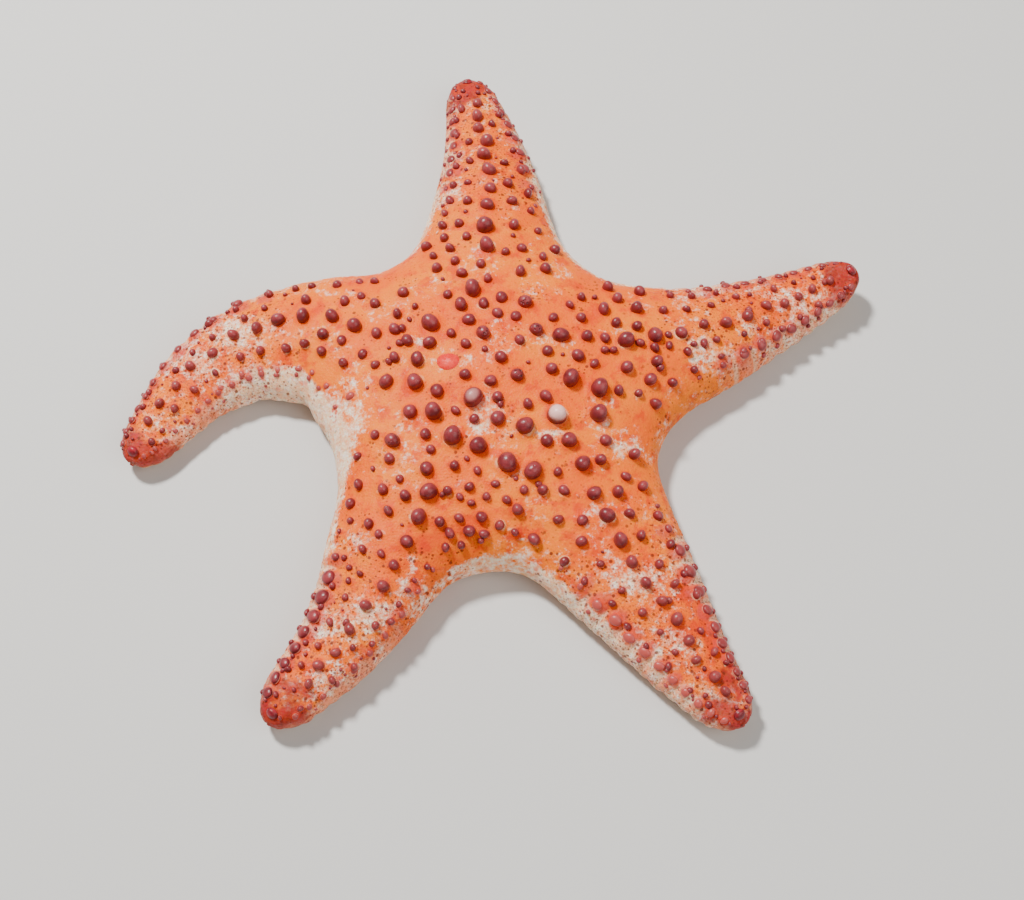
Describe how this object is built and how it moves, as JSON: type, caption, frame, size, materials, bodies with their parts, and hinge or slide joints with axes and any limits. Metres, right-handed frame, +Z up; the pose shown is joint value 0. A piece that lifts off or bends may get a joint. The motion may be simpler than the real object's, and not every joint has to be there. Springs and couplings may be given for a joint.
{
  "type": "sea star",
  "caption": "Life-size knobbly sea star at rest, orange and cream with dark red rounded knobs, a domed disc, blunt tapering arms and one arm curled sideways.",
  "frame": {"origin": "middle of the animal's outline, seen from above, on the floor it rests on", "axes": "+Z up, away from the mouth; +Y along the arm opposite the two close-set arms; +X towards the straight side arm"},
  "size_m": [0.2081, 0.2031, 0.0274],
  "materials": {
    "skin": "satin",
    "sieve_plate": "matte"
  },
  "bodies": {
    "root": {"disc": "skin", "arm_right": "skin", "arm_top": "skin", "arm_left": "skin", "arm_lower_left": "skin", "arm_lower_right": "skin", "madreporite": "sieve_plate"}
  },
  "joints": []
}
